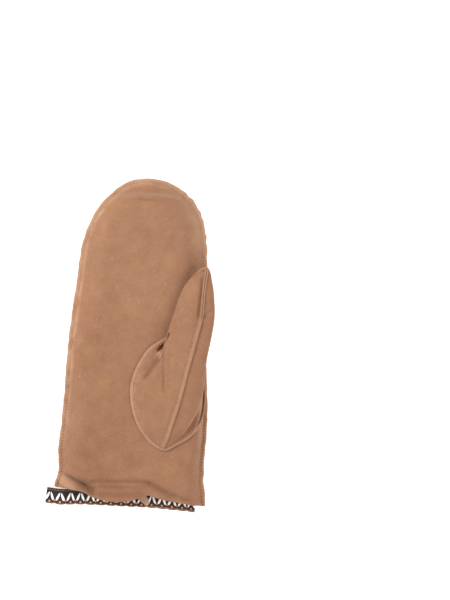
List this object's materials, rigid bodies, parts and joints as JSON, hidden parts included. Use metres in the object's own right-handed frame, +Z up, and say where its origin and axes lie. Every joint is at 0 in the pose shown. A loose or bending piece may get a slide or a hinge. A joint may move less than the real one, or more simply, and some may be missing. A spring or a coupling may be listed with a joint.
{
  "type": "suede mitten",
  "caption": "Right-hand suede mitten lying palm up, with a sewn-on thumb, an outward seam round the edge, a woven zigzag band inside the cuff and a small hanging loop.",
  "frame": {"origin": "on the flat underside of the back of the hand, where the mitten rests on a table, in the middle of its width and length", "axes": "+Y runs from the cuff to the fingertips, +Z runs up out of the palm, and +X runs to the thumb's side"},
  "size_m": [0.1249, 0.2559, 0.0355],
  "materials": {
    "suede": "soft napped suede, warm tan",
    "woven_band": "woven, black with white zigzags and a brown scalloped edge",
    "suede_strip": "napped suede strip, warm tan"
  },
  "bodies": {
    "root": {"back_panel": "suede", "palm_panel": "suede", "thumb": "suede", "back_cuff_band": "woven_band", "palm_cuff_band": "woven_band", "hanging_loop": "suede_strip"}
  },
  "joints": []
}
